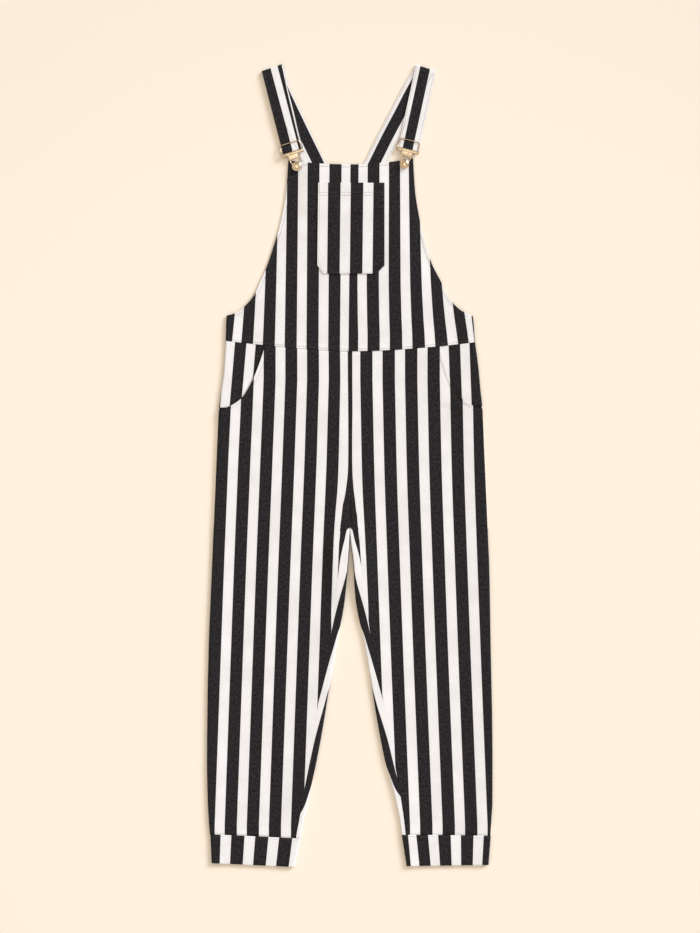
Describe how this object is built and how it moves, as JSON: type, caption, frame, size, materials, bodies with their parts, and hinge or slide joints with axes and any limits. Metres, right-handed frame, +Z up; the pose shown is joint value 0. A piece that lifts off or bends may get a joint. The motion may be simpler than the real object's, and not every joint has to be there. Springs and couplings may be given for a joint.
{
  "type": "dungarees",
  "caption": "Bib-front dungarees in broad black and white stripes, laid flat with the front up: folded buckle straps, patch bib pocket, curved hip pockets, tapered legs, plain cuffs.",
  "frame": {"origin": "middle of the garment's outline on the surface it lies on, z = 0 at the surface", "axes": "+X to the right as the front is looked at, +Y from the cuffs towards the straps, +Z up from the surface, out of the garment's front"},
  "size_m": [0.5476, 1.5408, 0.0096],
  "materials": {
    "striped_cloth": "matt cotton twill in even black and white stripes about 21 mm wide",
    "gilt_metal": "polished pale gold"
  },
  "bodies": {
    "root": {"bib_front": "striped_cloth", "bib_back": "striped_cloth", "bib_pocket": "striped_cloth", "leg_front_left": "striped_cloth", "leg_front_right": "striped_cloth", "leg_back_left": "striped_cloth", "leg_back_right": "striped_cloth", "pocket_facing_left": "striped_cloth", "pocket_facing_right": "striped_cloth", "cuff_left": "striped_cloth", "cuff_right": "striped_cloth", "strap_left": "striped_cloth", "strap_right": "striped_cloth", "buckle_left": "gilt_metal", "buckle_right": "gilt_metal", "button_left": "gilt_metal", "button_right": "gilt_metal"}
  },
  "joints": []
}
